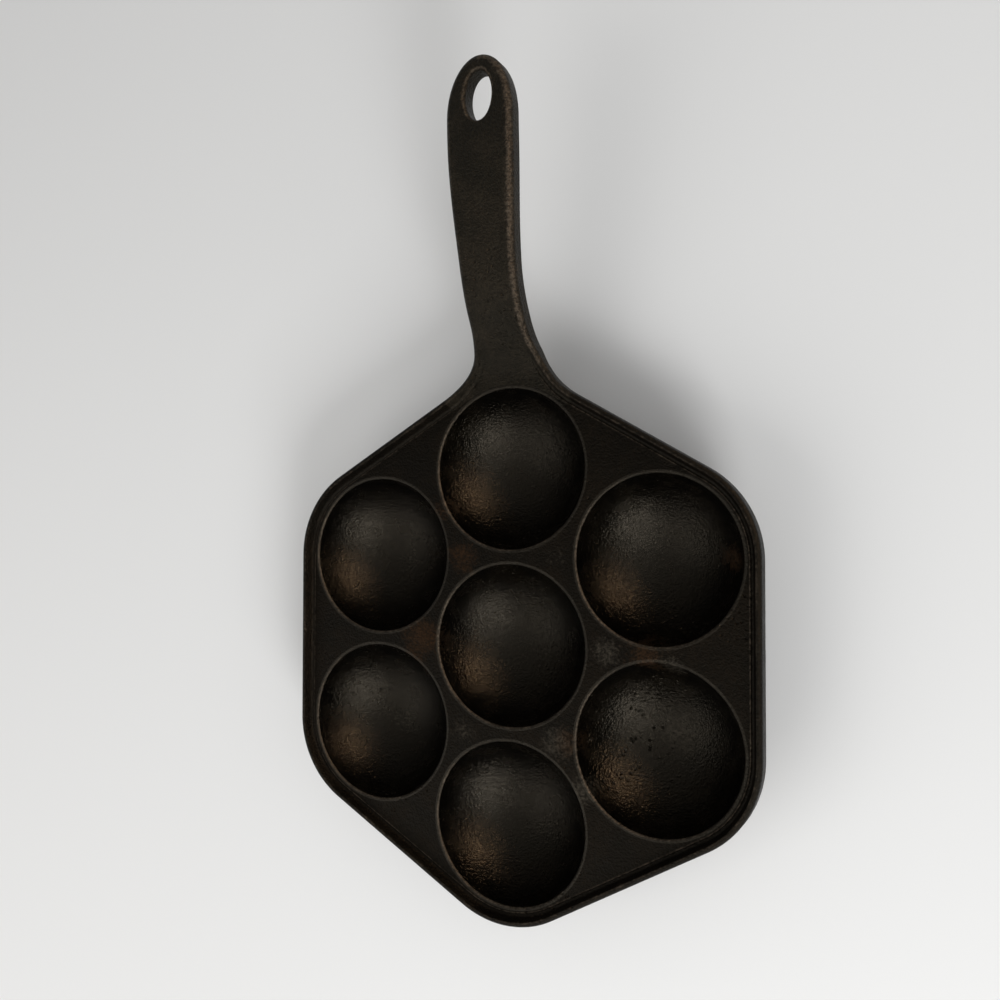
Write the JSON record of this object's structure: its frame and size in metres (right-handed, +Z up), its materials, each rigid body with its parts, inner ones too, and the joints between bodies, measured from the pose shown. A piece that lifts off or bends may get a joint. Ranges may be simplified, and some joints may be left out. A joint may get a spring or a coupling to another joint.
{
  "type": "aebleskiver pan",
  "caption": "Cast-iron aebleskiver pan: round wells hang from a hexagonal deck with a raised rim, and a long rising handle ends in a hanging eye.",
  "frame": {"origin": "on the floor, in the middle of the flat foot under the centre well", "axes": "+Z up out of the wells, +Y along the handle towards its eye, +X to the right"},
  "size_m": [0.1858, 0.3123, 0.055],
  "materials": {
    "deck_iron": "seasoned, fine cast grain, satin",
    "well_iron": "seasoned and oily, fine cast grain",
    "rim_iron": "seasoned, worn along the crest",
    "handle_iron": "hand-worn brown, fine cast grain"
  },
  "bodies": {
    "root": {"deck_web": "deck_iron", "rim_bead": "rim_iron", "handle_root": "handle_iron", "handle_grip": "handle_iron", "handle_end": "handle_iron", "well_center": "well_iron", "well_at_handle": "well_iron", "well_opposite": "well_iron", "well_left_near": "well_iron", "well_left_far": "well_iron", "well_right_near": "well_iron", "well_right_far": "well_iron"}
  },
  "joints": []
}
